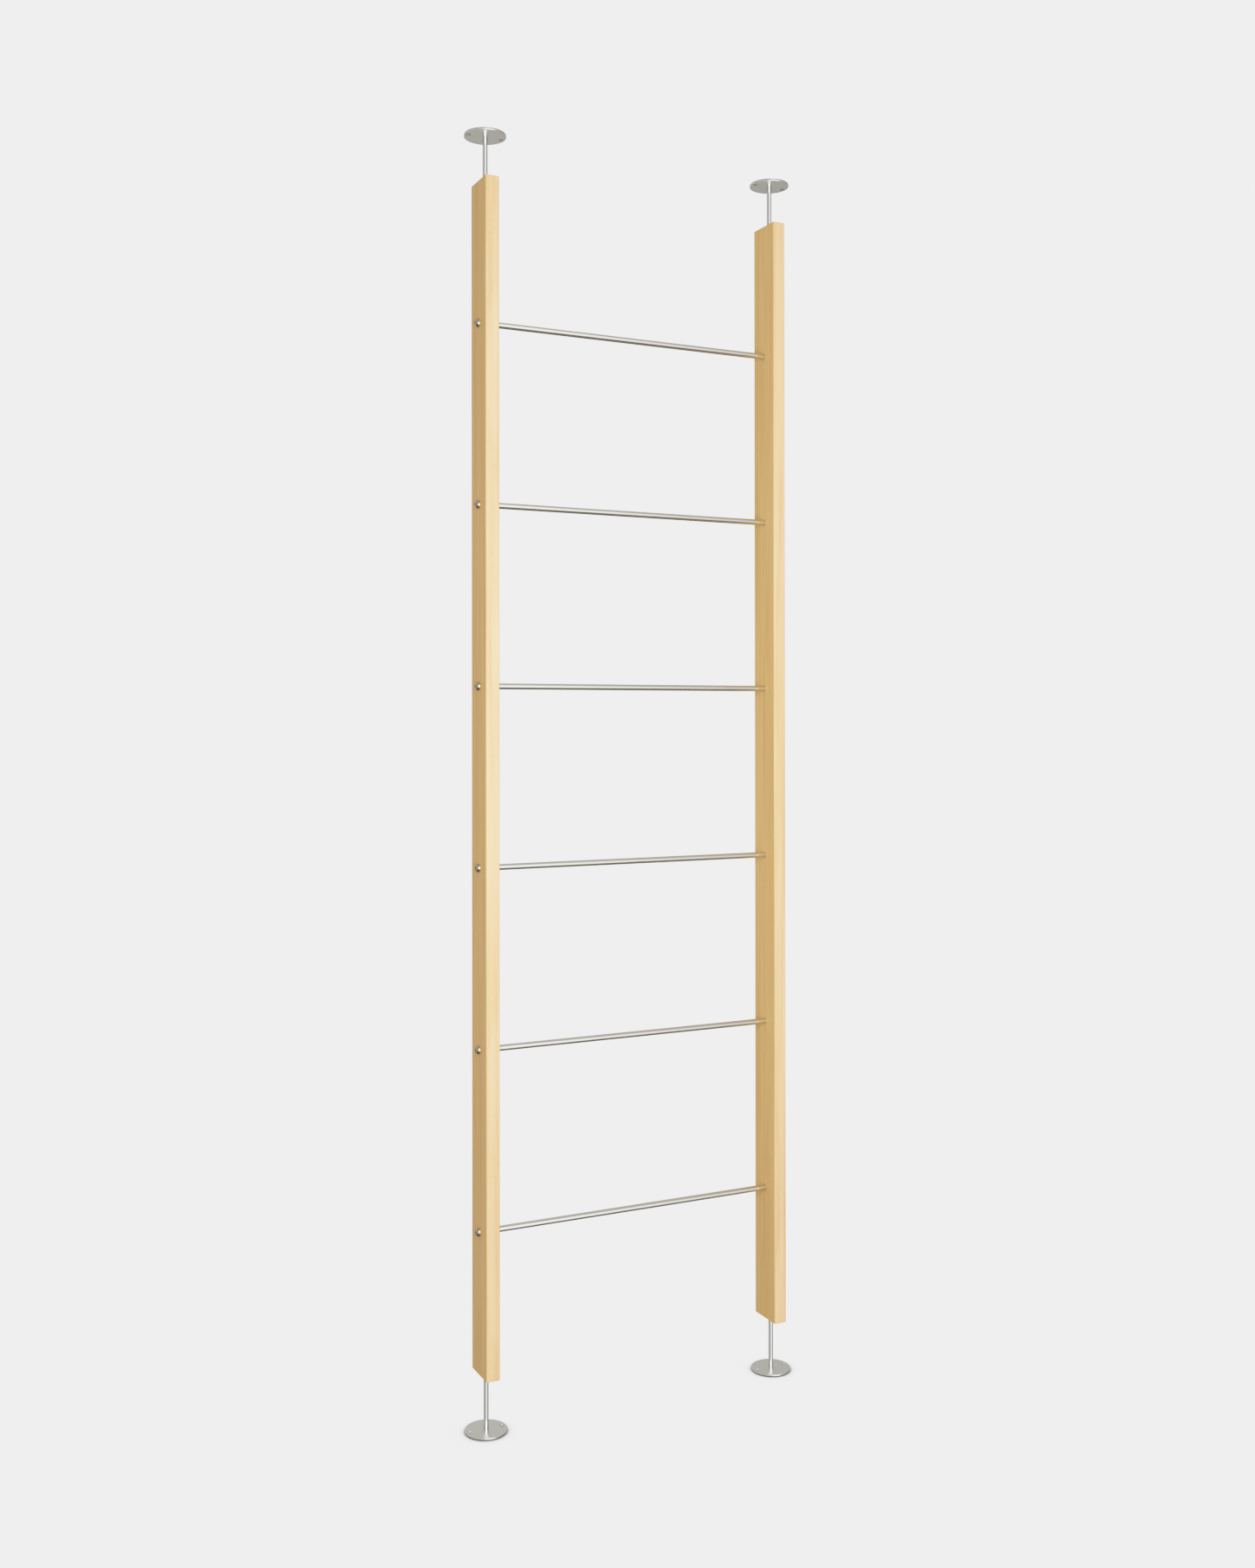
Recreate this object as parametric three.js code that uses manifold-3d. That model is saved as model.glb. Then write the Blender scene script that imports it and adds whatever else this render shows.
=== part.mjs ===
// A floor-to-ceiling ladder frame: two flat oak posts joined by six round steel rungs.
// A jack foot at each post end screws out to the floor or the ceiling, and carries a swivelling disc.
// Millimetres, +Z up, +X across the ladder. The origin is on the floor, midway between the posts.

import * as THREE from "three";
import { mergeVertices } from "three/addons/utils/BufferGeometryUtils.js";
import Module from "manifold-3d";

const wasm = await Module();
wasm.setup();

// ---- Driving dimensions ----

const OVERALL_HEIGHT = 2500; // floor to ceiling, with the feet at their rest extension
const GAP = 0.3; // clearance between pieces that touch or nest

const POST = { width: 28, depth: 80, length: 2300, edge: 3 };
const CLEAR_WIDTH = 612; // between the posts' inner faces

const RUNG = { count: 6, radius: 6, spacing: 350, seat: 10 };
const RUNG_TAP = { radius: 3.3, depth: 22 }; // the tapped hole in each end of a rung

const DOME = { radius: 8.5, height: 8, land: 0.8 }; // the rung screws' domed heads
const DOME_SOCKET = { radius: 2.31, depth: 3.5 }; // hexagon, 4 mm across its flats
const RUNG_SCREW = { radius: 3, length: 36 };

const DISC = { radius: 41, thickness: 3 };
const PAD = { radius: 40.5, thickness: 1.2 };
const FIXING = { offset: 33.5, radius: 3.2, sinkRadius: 6, padRadius: 4 };
const SWIVEL = { radius: 2.5, headRadius: 4.8, length: 14, socketRadius: 1.73, socketDepth: 1.6 };

const ROD = { radius: 5, length: 220 };
const TOMMY_HOLE = { radius: 2, fromDisc: 20 }; // takes the bar that turns the rod
const ROD_TURN = -25; // degrees about +Z: where the tommy hole stops at rest

const BUSH = { radius: 8, length: 28 }; // guides the rod at the post's mouth
const INSERT = { radius: 8, length: 30, depth: 80 }; // the nut that the rod screws through
const BORE = { radius: 8.3, narrow: 5.6, depth: 200 }; // in each post end, for the above

// ---- Values that follow from them ----

const FOOT_STACK = DISC.thickness + GAP + PAD.thickness;
const LOWER_EXTENSION = 105.5; // from the post's end to the disc
const UPPER_EXTENSION = OVERALL_HEIGHT - POST.length - LOWER_EXTENSION - 2 * FOOT_STACK;
const POST_BOTTOM = FOOT_STACK + LOWER_EXTENSION;
const POST_CENTRE = (CLEAR_WIDTH + POST.width) / 2;
const FIRST_RUNG = (POST.length - (RUNG.count - 1) * RUNG.spacing) / 2; // above the post's end

// ---- Materials ----

const OAK = new THREE.MeshStandardMaterial({ color: 0xd9b98a, roughness: 0.55, metalness: 0 });
const STEEL = new THREE.MeshStandardMaterial({ color: 0xc9cbcc, roughness: 0.25, metalness: 1 });
const SATIN = new THREE.MeshStandardMaterial({ color: 0xb9bbbc, roughness: 0.4, metalness: 1 });
const BRASS = new THREE.MeshStandardMaterial({ color: 0xb8923f, roughness: 0.4, metalness: 1 });
const NYLON = new THREE.MeshStandardMaterial({ color: 0xe4e1d8, roughness: 0.6, metalness: 0 });
const RUBBER = new THREE.MeshStandardMaterial({ color: 0x1c1c1c, roughness: 0.9, metalness: 0 });

// ---- Solid helpers ----

/** Sides on a round shape: most of them, the screws, and the wide discs and pads. */
const ROUND = 16;
const SCREW_ROUND = 12;
const WIDE_ROUND = 32;

/** A closed geometry as a manifold-3d solid, without the empty triangles at a lathe's poles. */
function solid(geometry) {
  const bare = geometry.clone().deleteAttribute("normal").deleteAttribute("uv");
  const merged = mergeVertices(bare, 1e-4);
  const triangles = [];
  for (let i = 0; i < merged.index.count; i += 3) {
    const [a, b, c] = [0, 1, 2].map((k) => merged.index.getX(i + k));
    if (a !== b && b !== c && c !== a) triangles.push(a, b, c);
  }
  return new wasm.Manifold(
    new wasm.Mesh({
      numProp: 3,
      vertProperties: merged.attributes.position.array,
      triVerts: new Uint32Array(triangles),
    }),
  );
}

/** A manifold-3d solid as a geometry. */
function toGeometry(made) {
  const { vertProperties, triVerts } = made.getMesh();
  const geometry = new THREE.BufferGeometry();
  geometry.setAttribute("position", new THREE.BufferAttribute(vertProperties, 3));
  geometry.setIndex(new THREE.BufferAttribute(triVerts, 1));
  geometry.computeVertexNormals();
  return geometry;
}

/** The body of revolution about +Z of [radius, height] pairs that run up its outside. */
function revolve(profile, segments = ROUND) {
  const points = profile.map(([radius, height]) => new THREE.Vector2(radius, height));
  return new THREE.LatheGeometry(points, segments).rotateX(Math.PI / 2);
}

/** A cylinder about +Z between two heights. */
function cylinder(radius, from, to, segments = ROUND) {
  const geometry = new THREE.CylinderGeometry(radius, radius, to - from, segments);
  return geometry.rotateX(Math.PI / 2).translate(0, 0, (from + to) / 2);
}

/** A geometry with other geometries cut out of it. */
function cut(geometry, tools) {
  return toGeometry(tools.reduce((left, tool) => left.subtract(solid(tool)), solid(geometry)));
}

/** A named mesh. */
function piece(name, geometry, material) {
  const mesh = new THREE.Mesh(geometry, material);
  mesh.name = name;
  return mesh;
}

// ---- Posts ----

/** A rectangle about the origin with rounded corners. */
function roundedRectangle(width, depth, radius) {
  const x = width / 2 - radius;
  const y = depth / 2 - radius;
  const shape = new THREE.Shape();
  shape.absarc(x, y, radius, 0, Math.PI / 2);
  shape.absarc(-x, y, radius, Math.PI / 2, Math.PI);
  shape.absarc(-x, -y, radius, Math.PI, 1.5 * Math.PI);
  shape.absarc(x, -y, radius, 1.5 * Math.PI, 2 * Math.PI);
  shape.closePath();
  return shape;
}

/** The bore in a post's end, which runs down from height 0 and holds the bush and the insert. */
function endBore() {
  const wide = INSERT.depth + INSERT.length + GAP;
  return revolve([
    [0, -BORE.depth],
    [BORE.narrow, -BORE.depth],
    [BORE.narrow, -wide],
    [BORE.radius, -wide],
    [BORE.radius, 1],
    [0, 1],
  ]);
}

/** A rung's socket with its screw's hole, along +X from the inside of a post's inner face. */
function rungSocket() {
  const inner = POST.width / 2;
  const floor = inner - RUNG.seat;
  return revolve([
    [0, -inner - 1],
    [RUNG_TAP.radius, -inner - 1],
    [RUNG_TAP.radius, floor],
    [RUNG.radius + GAP, floor],
    [RUNG.radius + GAP, inner + 1],
    [0, inner + 1],
  ]).rotateY(Math.PI / 2);
}

/** A post that stands on height 0 and takes its rungs on its +X face. */
function postGeometry() {
  const blank = new THREE.ExtrudeGeometry(roundedRectangle(POST.width, POST.depth, POST.edge), {
    depth: POST.length,
    bevelEnabled: false,
    curveSegments: 4,
  });
  const tools = [endBore().translate(0, 0, POST.length), endBore().rotateX(Math.PI)];
  for (let i = 0; i < RUNG.count; i++) {
    tools.push(rungSocket().translate(0, 0, FIRST_RUNG + i * RUNG.spacing));
  }
  return cut(blank, tools);
}

// ---- Rungs and their screws ----

/** A rung about +Z, centred, with a tapped hole in each end. */
function rungGeometry() {
  const half = CLEAR_WIDTH / 2 + RUNG.seat - GAP;
  const { radius, depth } = RUNG_TAP;
  return cut(cylinder(RUNG.radius, -half, half), [
    cylinder(radius, -half - 1, -half + depth),
    cylinder(radius, half - depth, half + 1),
  ]);
}

/** A domed screw about +Z, with its head above height 0 and its shank below. */
function domeScrewGeometry() {
  const rise = DOME.height - DOME.land;
  const sphere = (DOME.radius ** 2 + rise ** 2) / (2 * rise);
  const centre = DOME.height - sphere;
  const start = Math.asin((DOME.land - centre) / sphere);
  const steps = 3;
  const dome = [];
  for (let i = 0; i <= steps; i++) {
    const angle = start + ((Math.PI / 2 - start) * i) / steps;
    dome.push([i < steps ? sphere * Math.cos(angle) : 0, centre + sphere * Math.sin(angle)]);
  }
  const { radius, length } = RUNG_SCREW;
  const below = [
    [0, -length],
    [radius, -length],
    [radius, 0],
    [DOME.radius, 0],
  ];
  const blank = revolve([...below, ...dome], SCREW_ROUND);
  const socket = cylinder(DOME_SOCKET.radius, DOME.height - DOME_SOCKET.depth, DOME.height + 1, 6);
  return cut(blank, [socket]);
}

// ---- Jack feet, which point along +Z from a post's end at height 0 ----

/** The rod, from the disc at height 0 down, with a tapped end and the tommy bar's hole. */
function rodGeometry() {
  const { radius, length } = ROD;
  const tap = cylinder(SWIVEL.radius + GAP, -SWIVEL.length, 1, SCREW_ROUND);
  const across = cylinder(TOMMY_HOLE.radius, -2 * radius, 2 * radius, SCREW_ROUND)
    .rotateY(Math.PI / 2)
    .translate(0, 0, -TOMMY_HOLE.fromDisc);
  return cut(cylinder(radius, -length, 0), [tap, across]);
}

/** The disc above height 0. Its fixing holes are sunk from below, its swivel hole from above. */
function discGeometry() {
  const { radius, thickness } = DISC;
  const blank = cylinder(radius, 0, thickness, WIDE_ROUND);
  const fixingSink = FIXING.sinkRadius - FIXING.radius;
  const fixing = revolve(
    [
      [0, -1],
      [FIXING.sinkRadius + 1, -1],
      [FIXING.radius, fixingSink],
      [FIXING.radius, thickness + 1],
      [0, thickness + 1],
    ],
    SCREW_ROUND,
  );
  const hole = SWIVEL.radius + 1.3 * GAP;
  const wide = SWIVEL.headRadius + 2 * GAP;
  const swivel = revolve([
    [0, -1],
    [hole, -1],
    [hole, thickness - (wide - hole)],
    [wide + 1, thickness + 1],
    [0, thickness + 1],
  ]);
  const offsets = [-FIXING.offset, FIXING.offset];
  return cut(blank, [swivel, ...offsets.map((x) => fixing.clone().translate(x, 0, 0))]);
}

/** The rubber pad above height 0, with a hole at each of the disc's fixing holes. */
function padGeometry() {
  const blank = cylinder(PAD.radius, 0, PAD.thickness, WIDE_ROUND);
  const offsets = [-FIXING.offset, FIXING.offset];
  const holes = offsets.map((x) => {
    return cylinder(FIXING.padRadius, -1, PAD.thickness + 1, SCREW_ROUND).translate(x, 0, 0);
  });
  return cut(blank, holes);
}

/** The countersunk screw that holds the disc on the rod, from its head's flat at height 0 down. */
function swivelScrewGeometry() {
  const { radius, headRadius, length, socketRadius, socketDepth } = SWIVEL;
  const blank = revolve([
    [0, -length],
    [radius, -length],
    [radius, radius - headRadius],
    [headRadius, 0],
    [0, 0],
  ]);
  return cut(blank, [cylinder(socketRadius, -socketDepth, 1, 6)]);
}

/** A sleeve about +Z that starts at a depth below height 0 and clears the rod. */
function sleeveGeometry(radius, depth, length) {
  const inner = ROD.radius + GAP;
  return revolve([
    [inner, -depth - length],
    [radius, -depth - length],
    [radius, -depth],
    [inner, -depth],
    [inner, -depth - length],
  ]);
}

const GEOMETRY = {
  post: postGeometry(),
  rod: rodGeometry(),
  disc: discGeometry(),
  pad: padGeometry(),
  swivel: swivelScrewGeometry(),
  bush: sleeveGeometry(BUSH.radius, GAP, BUSH.length),
  insert: sleeveGeometry(INSERT.radius, INSERT.depth, INSERT.length),
  rung: rungGeometry(),
  domeScrew: domeScrewGeometry(),
};

/** One jack foot: its disc's extension from the post's end, and its rod's turn in degrees. */
function foot(place, extension, turn) {
  const group = new THREE.Group();
  const rod = piece(`foot_rod_${place}`, GEOMETRY.rod, STEEL);
  rod.position.z = extension - GAP;
  rod.rotation.z = THREE.MathUtils.degToRad(turn);
  const disc = piece(`foot_disc_${place}`, GEOMETRY.disc, SATIN);
  disc.position.z = extension;
  const pad = piece(`foot_pad_${place}`, GEOMETRY.pad, RUBBER);
  pad.position.z = extension + DISC.thickness + GAP;
  const swivel = piece(`swivel_screw_${place}`, GEOMETRY.swivel, STEEL);
  swivel.position.z = extension + DISC.thickness - GAP;
  group.add(rod, disc, pad, swivel);
  group.add(piece(`guide_bush_${place}`, GEOMETRY.bush, NYLON));
  group.add(piece(`thread_insert_${place}`, GEOMETRY.insert, BRASS));
  return group;
}

// ---- Assembly ----

const ladder = new THREE.Group();

for (const [side, sign] of [["left", -1], ["right", 1]]) {
  const post = piece(`${side}_post`, GEOMETRY.post, OAK);
  post.position.set(sign * POST_CENTRE, 0, POST_BOTTOM);
  post.rotation.z = sign < 0 ? 0 : Math.PI;

  const upper = foot(`upper_${side}`, UPPER_EXTENSION, ROD_TURN);
  upper.position.set(sign * POST_CENTRE, 0, POST_BOTTOM + POST.length);
  const lower = foot(`lower_${side}`, LOWER_EXTENSION, -ROD_TURN); // turned over with its group
  lower.position.set(sign * POST_CENTRE, 0, POST_BOTTOM);
  lower.rotation.x = Math.PI;
  ladder.add(post, upper, lower);
}

for (let i = 0; i < RUNG.count; i++) {
  const height = POST_BOTTOM + FIRST_RUNG + i * RUNG.spacing;
  const rung = piece(`rung_${i + 1}`, GEOMETRY.rung, STEEL);
  rung.position.z = height;
  rung.rotation.y = Math.PI / 2;
  ladder.add(rung);
  for (const [side, sign] of [["left", -1], ["right", 1]]) {
    const screw = piece(`rung_screw_${side}_${i + 1}`, GEOMETRY.domeScrew, STEEL);
    screw.position.set(sign * (CLEAR_WIDTH / 2 + POST.width + GAP), 0, height);
    screw.rotation.y = (sign * Math.PI) / 2;
    ladder.add(screw);
  }
}

export default ladder;
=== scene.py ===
"""A floor-to-ceiling ladder frame: two oak posts, six steel rungs and four jack feet.

Metres, +Z up and +X across the ladder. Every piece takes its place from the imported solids.
"""

import logging
import math
from dataclasses import dataclass, fields
from enum import Enum
from typing import Any, Iterable, Sequence

import bmesh
import bpy
from mathutils import Matrix, Vector


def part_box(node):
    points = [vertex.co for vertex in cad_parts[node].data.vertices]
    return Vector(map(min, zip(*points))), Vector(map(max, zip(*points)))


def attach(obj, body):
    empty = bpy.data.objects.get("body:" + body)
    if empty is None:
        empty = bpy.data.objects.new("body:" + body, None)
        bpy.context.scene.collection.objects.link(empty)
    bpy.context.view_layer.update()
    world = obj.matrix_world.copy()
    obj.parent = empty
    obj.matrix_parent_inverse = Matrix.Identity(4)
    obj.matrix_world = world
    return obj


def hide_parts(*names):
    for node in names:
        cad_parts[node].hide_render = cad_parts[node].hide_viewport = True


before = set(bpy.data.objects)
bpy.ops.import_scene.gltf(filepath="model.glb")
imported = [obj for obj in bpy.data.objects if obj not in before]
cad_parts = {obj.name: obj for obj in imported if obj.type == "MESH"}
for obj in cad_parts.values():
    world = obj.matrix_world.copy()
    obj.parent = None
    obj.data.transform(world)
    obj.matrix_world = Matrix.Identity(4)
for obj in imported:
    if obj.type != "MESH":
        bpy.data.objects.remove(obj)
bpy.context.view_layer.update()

LOG = logging.getLogger("ladder")

MM = 0.001
LADDER = "ladder"  # the body of the posts, the rungs and what is fixed in them
Colour = tuple[float, float, float]
Outline = list[tuple[float, float]]


# ---- Node graphs ----


class Wire:
    """A node's socket, whose arithmetic adds Math nodes to its graph."""

    def __init__(self, graph: "NodeGraph", socket: bpy.types.NodeSocket) -> None:
        """Keeps the socket that the wire starts from, and its graph."""
        self.graph = graph
        self.socket = socket

    def math(self, operation: str, *values: Any) -> "Wire":
        """A Math node's result.

        Args:
            operation: The node's operation.
            values: Its inputs in order, as numbers or wires.

        Returns:
            The result's wire.
        """
        return self.graph.node("ShaderNodeMath", {"operation": operation}, dict(enumerate(values)))

    def __add__(self, other: Any) -> "Wire":
        """This wire plus a number or wire."""
        return self.math("ADD", self, other)

    __radd__ = __add__

    def __sub__(self, other: Any) -> "Wire":
        """This wire less a number or wire."""
        return self.math("SUBTRACT", self, other)

    def __rsub__(self, other: Any) -> "Wire":
        """A number or wire less this wire."""
        return self.math("SUBTRACT", other, self)

    def __mul__(self, other: Any) -> "Wire":
        """This wire times a number or wire."""
        return self.math("MULTIPLY", self, other)

    __rmul__ = __mul__

    def __truediv__(self, other: Any) -> "Wire":
        """This wire divided by a number or wire."""
        return self.math("DIVIDE", self, other)

    def __pow__(self, power: Any) -> "Wire":
        """This wire to a power."""
        return self.math("POWER", self, power)

    def __abs__(self) -> "Wire":
        """This wire without its sign."""
        return self.math("ABSOLUTE", self)

    def smaller(self, other: Any) -> "Wire":
        """The smaller of this and another value."""
        return self.math("MINIMUM", self, other)

    def larger(self, other: Any) -> "Wire":
        """The larger of this and another value."""
        return self.math("MAXIMUM", self, other)

    def clamped(self) -> "Wire":
        """This wire kept between 0 and 1."""
        return self.larger(0.0).smaller(1.0)

    def step(self, low: float, high: float) -> "Wire":
        """A smooth rise from 0 at one value of this wire to 1 at another.

        Args:
            low: Where the rise starts.
            high: Where it ends.

        Returns:
            The rise's wire.
        """
        ends = {"Value": self, "From Min": low, "From Max": high}
        return self.graph.node("ShaderNodeMapRange", {"interpolation_type": "SMOOTHSTEP"}, ends)


class NodeGraph:
    """A node tree, whose nodes all come from one method."""

    def __init__(self, tree: bpy.types.NodeTree) -> None:
        """Starts on a tree."""
        self.tree = tree

    def node(
        self,
        kind: str,
        settings: dict[str, Any] | None = None,
        inputs: dict[str | int, Any] | None = None,
        output: str | int = 0,
    ) -> Wire:
        """Makes a node, and sets it up before its inputs.

        Args:
            kind: The node's type.
            settings: Its properties by name.
            inputs: A number, colour, vector or wire for each socket, by name or index.
            output: The socket that is wanted, by name or index.

        Returns:
            That output's wire.
        """
        made = self.tree.nodes.new(kind)
        for name, value in (settings or {}).items():
            setattr(made, name, value)
        for name, value in (inputs or {}).items():
            if isinstance(value, Wire):
                self.tree.links.new(value.socket, made.inputs[name])
            else:
                made.inputs[name].default_value = value
        return Wire(self, made.outputs[output])

    def parts(self, vector: Wire) -> tuple[Wire, Wire, Wire]:
        """Splits a vector.

        Args:
            vector: The vector.

        Returns:
            Its three numbers.
        """
        first = self.node("ShaderNodeSeparateXYZ", None, {0: vector})
        x, y, z = (Wire(self, socket) for socket in first.socket.node.outputs)
        return x, y, z

    def vector(self, x: Any, y: Any, z: Any) -> Wire:
        """A vector from three numbers or wires."""
        return self.node("ShaderNodeCombineXYZ", None, {0: x, 1: y, 2: z})


class ShaderGraph(NodeGraph):
    """A material's node tree, on Object coordinates."""

    def __init__(self, name: str) -> None:
        """Makes an empty material.

        Args:
            name: The material's name.
        """
        self.material = bpy.data.materials.new(name)
        self.material.use_nodes = True
        super().__init__(self.material.node_tree)
        self.tree.nodes.clear()
        self.place = self.node("ShaderNodeTexCoord", output="Object")

    def noise(
        self,
        scale: Sequence[float],
        detail: float = 2.0,
        offset: Sequence[float] = (0.0, 0.0, 0.0),
        place: Wire | None = None,
    ) -> Wire:
        """Noise that is stretched by its own scale along each axis.

        Args:
            scale: How many features fit in a metre along X, Y and Z.
            detail: How many finer layers it has.
            offset: Where in the noise the origin lies, in features.
            place: The coordinates to read instead of the object's own.

        Returns:
            The noise, from 0 to 1.
        """
        setup = {"Vector": place or self.place, "Location": tuple(offset), "Scale": tuple(scale)}
        at = self.node("ShaderNodeMapping", {"vector_type": "POINT"}, setup)
        inputs = {"Vector": at, "Scale": 1.0, "Detail": detail, "Roughness": 0.55}
        return self.node("ShaderNodeTexNoise", {"noise_dimensions": "3D"}, inputs)

    def mix(self, amount: Any, first: Any, second: Any) -> Wire:
        """A colour between two.

        Args:
            amount: 0 for the first, 1 for the second.
            first: A colour or its wire.
            second: A colour or its wire.

        Returns:
            The mixed colour.
        """
        colours = [c if isinstance(c, Wire) else (*c, 1.0) for c in (first, second)]
        settings = {"data_type": "RGBA", "clamp_factor": True}
        return self.node("ShaderNodeMix", settings, {0: amount, 6: colours[0], 7: colours[1]}, 2)

    def edges(self, radius: float) -> Wire:
        """How near a point is to an outer edge, which handling rubs.

        Args:
            radius: How far the rubbed band reaches from the edge, in metres.

        Returns:
            1 on the edge, falling to 0 away from it.
        """
        eased = self.node("ShaderNodeBevel", {"samples": 4}, {"Radius": radius})
        plain = self.node("ShaderNodeNewGeometry", output="Normal")
        facing = self.node(
            "ShaderNodeVectorMath", {"operation": "DOT_PRODUCT"}, {0: eased, 1: plain}, "Value"
        )
        return (1.0 - facing).step(0.02, 0.22)

    def finish(
        self,
        fixed: dict[str, Any],
        colour: Wire,
        roughness: Wire,
        height: Wire,
        depth: float,
    ) -> bpy.types.Material:
        """Ends the graph in a shader.

        Args:
            fixed: The shader's constant inputs by name.
            colour: The base colour.
            roughness: The roughness.
            height: The surface's relief, from 0 to 1.
            depth: How deep that relief is, in metres.

        Returns:
            The finished material.
        """
        relief = {"Strength": 1.0, "Distance": depth, "Height": height}
        bump = self.node("ShaderNodeBump", None, relief)
        varying = {"Base Color": colour, "Roughness": roughness, "Normal": bump}
        shader = self.node("ShaderNodeBsdfPrincipled", None, {**fixed, **varying})
        self.node_output(shader)
        return self.material

    def node_output(self, shader: Wire) -> None:
        """Links a shader to the material's output."""
        output = self.tree.nodes.new("ShaderNodeOutputMaterial")
        self.tree.links.new(shader.socket, output.inputs["Surface"])


# ---- Finishes ----


@dataclass(frozen=True)
class Oak:
    """Light oak under a clear matt lacquer, with growth rings about a pith beside the board."""

    name: str
    pith: tuple[float, float]
    shift: float  # along the tree, so that two boards differ
    light: Colour = (0.80, 0.475, 0.182)
    dark: Colour = (0.56, 0.315, 0.092)
    # painted light: the narrow faces get a paler, less saturated copy of the oak, as the strong
    # light in front makes them look
    narrow_light: Colour = (0.89, 0.53, 0.285)
    painted_lit_narrow_dark: Colour = (0.64, 0.33, 0.135)
    narrow: float = 40 * MM  # from the board's middle to its narrow faces, where light is painted into the colour
    pore: Colour = (0.30, 0.155, 0.06)
    fleck: Colour = (0.86, 0.60, 0.32)
    ring: float = 5.5 * MM
    fibre_grain: Colour = (340.0, 340.0, 6.0)  # features in a metre along X, Y and Z
    streak_grain: Colour = (90.0, 90.0, 2.4)
    drift_grain: Colour = (16.0, 16.0, 1.6)
    pore_grain: Colour = (2500.0, 2500.0, 85.0)
    fleck_grain: Colour = (760.0, 70.0, 150.0)
    relief: float = 0.07 * MM

    def material(self) -> bpy.types.Material:
        """Makes the wood.

        Returns:
            Its material.
        """
        graph = ShaderGraph(self.name)
        far = (self.shift * 7.0, 3.0, self.shift * 31.0)
        x, y, _ = graph.parts(graph.place)
        sway = graph.noise((3.0, 3.0, 1.15), 1.0, far) - 0.5
        lean = graph.noise((4.0, 4.0, 0.7), 1.0, (far[2], 8.0, far[0])) - 0.5
        across = x - self.pith[0] + lean * (16 * MM)
        away = y - self.pith[1] + sway * (26 * MM)
        radius = (across * across + away * away) ** 0.5
        uneven = graph.noise((130.0, 1.0, 1.0), 1.0, far, graph.vector(radius, 0.0, 0.0))
        years = radius / self.ring + uneven * 1.6
        season = years.math("FRACT", years)
        early = (1.0 - season.step(0.0, 0.7)).larger(season.step(0.8, 1.0))

        fibre = graph.noise(self.fibre_grain, 3.0, far)
        drift = graph.noise(self.drift_grain, 2.0, far)
        streak = graph.noise(self.streak_grain, 2.0, far).step(0.40, 0.75)
        pores = graph.noise(self.pore_grain, 1.0, far).step(0.58, 0.70)
        pores = pores * (early * 0.8 + 0.2)
        flecks = graph.noise(self.fleck_grain, 1.0, far).step(0.64, 0.72)

        tone = early * (drift * 0.3 + 0.02) + (fibre - 0.5) * 0.55 + streak * 0.36 + drift * 0.4
        # painted light: near the narrow faces the oak turns to its paler, lit copy
        narrow = abs(y).step(self.narrow - 1.2 * MM, self.narrow - 0.1 * MM)
        light = graph.mix(narrow, self.light, self.narrow_light)
        dark = graph.mix(narrow, self.dark, self.painted_lit_narrow_dark)
        colour = graph.mix(tone.clamped(), light, dark)
        colour = graph.mix(pores * 0.42, colour, self.pore)
        colour = graph.mix(flecks * 0.12, colour, self.fleck)
        normal = graph.node("ShaderNodeNewGeometry", output="Normal")
        end_grain = abs(graph.parts(normal)[2]).step(0.55, 0.95)
        colour = graph.mix(end_grain * 0.5, colour, self.dark)
        worn = graph.edges(1.6 * MM)
        colour = graph.mix(worn * 0.3, colour, self.fleck)

        roughness = 0.46 + (fibre - 0.5) * 0.16 + pores * 0.16 + end_grain * 0.1 - worn * 0.08
        height = 0.6 + (fibre - 0.5) * 0.35 - pores * 0.6
        fixed = {"IOR": 1.5, "Specular IOR Level": 0.22, "Coat Weight": 0.04, "Coat Roughness": 0.4}
        return graph.finish(fixed, colour, roughness, height, self.relief)


class Marks(Enum):
    """The way that a metal's tool marks run."""

    ROUND_X = "round an axis along X"
    ROUND_Z = "round an axis along Z"
    FACED = "in rings on a turned face, and round its rim"
    DULL = "nowhere in particular, as on a plated or moulded skin"


@dataclass(frozen=True)
class Metal:
    """A bare or plated metal, with fine tool marks, faint clouding and rubbed edges."""

    name: str
    tint: Colour
    roughness: float
    marks: Marks
    axis: float = 0.0  # how far from the middle, along X, the faced pieces turn
    contrast: float = 0.16

    def tool_marks(self, graph: ShaderGraph) -> Wire:
        """The marks themselves.

        Args:
            graph: The material's graph.

        Returns:
            Fine noise drawn out along the marks, from 0 to 1.
        """
        fine, long = 2600.0, 25.0
        if self.marks is Marks.ROUND_X:
            return graph.noise((fine, long, long), 2.0)
        if self.marks is Marks.ROUND_Z:
            return graph.noise((long, long, fine), 2.0)
        if self.marks is Marks.DULL:
            return graph.noise((fine, fine, fine), 2.0)
        x, y, z = graph.parts(graph.place)
        across = abs(x) - self.axis
        radius = (across * across + y * y) ** 0.5
        return graph.noise((fine, long, fine), 2.0, place=graph.vector(radius, 0.0, z))

    def material(self) -> bpy.types.Material:
        """Makes the metal.

        Returns:
            Its material.
        """
        graph = ShaderGraph(self.name)
        marks = self.tool_marks(graph)
        cloud = graph.noise((26.0, 26.0, 26.0), 3.0)
        scuffs = graph.noise((420.0, 380.0, 300.0), 4.0).step(0.62, 0.8)
        worn = graph.edges(0.5 * MM)
        shade = (marks - 0.5) * self.contrast + (cloud - 0.5) * 0.12 - scuffs * 0.06 + 0.5
        dull = tuple(c * 0.84 for c in self.tint)
        bright = tuple(min(c * 1.16, 1.0) for c in self.tint)
        colour = graph.mix(shade.clamped(), dull, bright)
        colour = graph.mix(worn * 0.35, colour, bright)
        roughness = self.roughness + (marks - 0.5) * 0.12 + (cloud - 0.5) * 0.08
        roughness = roughness + scuffs * 0.05 - worn * 0.05
        fixed = {"Metallic": 1.0}
        return graph.finish(fixed, colour, roughness, marks + scuffs * 0.2, 0.008 * MM)


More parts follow.
